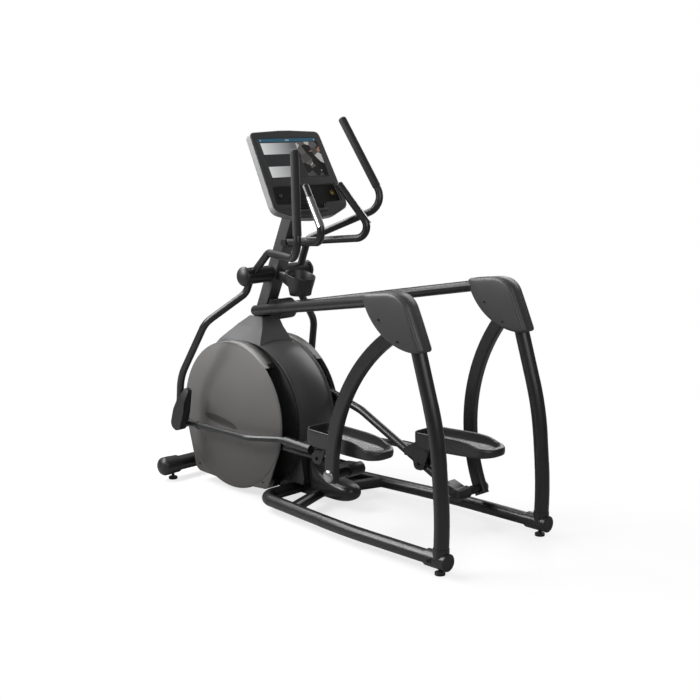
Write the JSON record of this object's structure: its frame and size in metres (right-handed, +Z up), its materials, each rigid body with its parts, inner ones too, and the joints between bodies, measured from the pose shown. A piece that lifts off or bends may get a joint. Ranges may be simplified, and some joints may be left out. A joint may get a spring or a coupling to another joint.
{
  "type": "elliptical trainer",
  "caption": "Suspension elliptical trainer with hanging swing arms, pedal arms, moving and fixed handlebars, round drive housing, cup holder and tilted console.",
  "frame": {"origin": "centre of the footprint's bounding box on the floor", "axes": "+X to the user's right, +Y forward to the console, the longest extent, +Z up"},
  "size_m": [0.7282, 1.8339, 1.7137],
  "materials": {
    "frame_charcoal": "satin charcoal powder coat",
    "mast_charcoal": "satin charcoal powder coat",
    "arm_charcoal": "satin charcoal powder coat",
    "cap_black": "fine grained black plastic",
    "foot_rubber": "dull black rubber",
    "screw_black": "blackened steel",
    "cover_grey": "satin dark grey plastic",
    "disc_grey": "satin warm grey plastic",
    "plate_dark": "smooth dark plastic",
    "shroud_grey": "satin mid grey plastic",
    "tail_grey": "satin dark plastic",
    "neck_grey": "satin grey plastic",
    "pin_steel": "turned steel",
    "chrome": "polished",
    "pulley_grey": "machined",
    "belt_black": "ribbed belt",
    "pedal_black": "grained plastic",
    "tread_grey": "ribbed rubber",
    "grip_foam": "soft foam",
    "cup_black": "satin plastic",
    "console_grey": "satin silver grey plastic",
    "console_dark": "satin dark plastic",
    "screen_glass": "glossy display",
    "keypad_brown": "glossy dark brown",
    "start_green": "yellow green button"
  },
  "bodies": {
    "base": {"base_frame": "frame_charcoal", "front_stabiliser": "frame_charcoal", "stabiliser_caps": "cap_black", "front_feet": "foot_rubber", "rear_clamps": "frame_charcoal", "clamp_screws": "screw_black", "rail_end_caps": "cap_black", "rear_feet": "foot_rubber", "side_frame_left": "frame_charcoal", "side_frame_right": "frame_charcoal", "mast": "mast_charcoal", "rail_saddle": "cap_black", "cover_outer": "cover_grey", "cover_inner": "cover_grey", "cover_band": "cover_grey", "trim_screws": "screw_black", "pivot_tube": "pin_steel", "pivot_caps": "cap_black", "disc_left": "disc_grey", "disc_right": "disc_grey", "disc_plates": "plate_dark", "centre_shroud": "shroud_grey", "tail_cover": "tail_grey", "neck_cover": "neck_grey", "drive_belt": "belt_black", "cup_holder": "cup_black", "fixed_handlebar": "arm_charcoal", "pulse_plates": "chrome", "console_shell": "console_grey", "console_face": "console_dark", "screen": "screen_glass", "keypad": "keypad_brown"},
    "swing_left": {"swing_arm_left": "arm_charcoal", "arm_pin_left": "pin_steel", "pin_cap_left": "chrome"},
    "swing_right": {"swing_arm_right": "arm_charcoal", "arm_pin_right": "pin_steel", "pin_cap_right": "chrome"},
    "pedal_arm_left": {"pedal_arm_left": "arm_charcoal"},
    "pedal_arm_right": {"pedal_arm_right": "arm_charcoal"},
    "foot_left": {"pedal_bracket_left": "arm_charcoal", "foot_rod_left": "arm_charcoal", "pedal_left": "pedal_black", "tread_left": "tread_grey"},
    "foot_right": {"pedal_bracket_right": "arm_charcoal", "foot_rod_right": "arm_charcoal", "pedal_right": "pedal_black", "tread_right": "tread_grey"},
    "handlebar_left": {"handlebar_left": "arm_charcoal", "grip_left": "grip_foam", "joint_cover_left": "cap_black"},
    "handlebar_right": {"handlebar_right": "arm_charcoal", "grip_right": "grip_foam", "joint_cover_right": "cap_black"},
    "crank": {"crank": "pin_steel", "drive_pulley": "pulley_grey"},
    "flywheel": {"flywheel": "pin_steel"},
    "start_key": {"start_button": "start_green"},
    "stop_key_body": {"stop_key": "keypad_brown"}
  },
  "joints": [
    {"name": "left_swing", "type": "hinge", "parent": "base", "child": "swing_left", "pos_m": [0, -0.707, 0.947], "axis": [1, 0, 0], "range_deg": [-26.4, 3.6]},
    {"name": "right_swing", "type": "hinge", "parent": "base", "child": "swing_right", "pos_m": [0, -0.707, 0.947], "axis": [1, 0, 0], "range_deg": [-3.6, 26.4]},
    {"name": "left_pedal_arm_turn", "type": "hinge", "parent": "swing_left", "child": "pedal_arm_left", "pos_m": [0, -0.2675, 0.26304], "axis": [1, 0, 0], "range_deg": [-5.33, 39.07]},
    {"name": "right_pedal_arm_turn", "type": "hinge", "parent": "swing_right", "child": "pedal_arm_right", "pos_m": [0, -0.566, 0.14632], "axis": [1, 0, 0], "range_deg": [-39.6, 5.4]},
    {"name": "left_pedal_turn", "type": "hinge", "parent": "pedal_arm_left", "child": "foot_left", "pos_m": [0, -0.04551, 0.26541], "axis": [1, 0, 0], "range_deg": [-13.12, 1.79]},
    {"name": "right_pedal_turn", "type": "hinge", "parent": "pedal_arm_right", "child": "foot_right", "pos_m": [0, -0.36552, 0.24167], "axis": [1, 0, 0], "range_deg": [-1.83, 13.4]},
    {"name": "left_handlebar_turn", "type": "hinge", "parent": "base", "child": "handlebar_left", "pos_m": [0, 0.398, 1.015], "axis": [1, 0, 0], "range_deg": [-26.43, 3.6]},
    {"name": "right_handlebar_turn", "type": "hinge", "parent": "base", "child": "handlebar_right", "pos_m": [0, 0.398, 1.015], "axis": [1, 0, 0], "range_deg": [-3.73, 27.34]},
    {"name": "crank_turn", "type": "hinge", "parent": "base", "child": "crank", "pos_m": [0, 0.4325, 0.3545], "axis": [1, 0, 0], "continuous": true},
    {"name": "flywheel_turn", "type": "hinge", "parent": "base", "child": "flywheel", "pos_m": [0, 0.728, 0.34], "axis": [1, 0, 0], "continuous": true},
    {"name": "start_button_press", "type": "slide", "parent": "base", "child": "start_key", "axis": [0, 0.8788, -0.4772], "range_m": [0, 0.002]},
    {"name": "stop_key_press", "type": "slide", "parent": "base", "child": "stop_key_body", "axis": [0, 0.8788, -0.4772], "range_m": [0, 0.002]}
  ],
  "couplings": [
    {"joint": "right_swing", "follows": "left_swing", "ratio": -1},
    {"joint": "left_pedal_arm_turn", "follows": "left_swing", "ratio": -1.48},
    {"joint": "right_pedal_arm_turn", "follows": "left_swing", "ratio": 1.5},
    {"joint": "left_pedal_turn", "follows": "left_swing", "ratio": 0.497},
    {"joint": "right_pedal_turn", "follows": "left_swing", "ratio": -0.5077},
    {"joint": "left_handlebar_turn", "follows": "left_swing", "ratio": 1.001},
    {"joint": "right_handlebar_turn", "follows": "left_swing", "ratio": -1.0354},
    {"joint": "flywheel_turn", "follows": "crank_turn", "ratio": 4.6429}
  ]
}
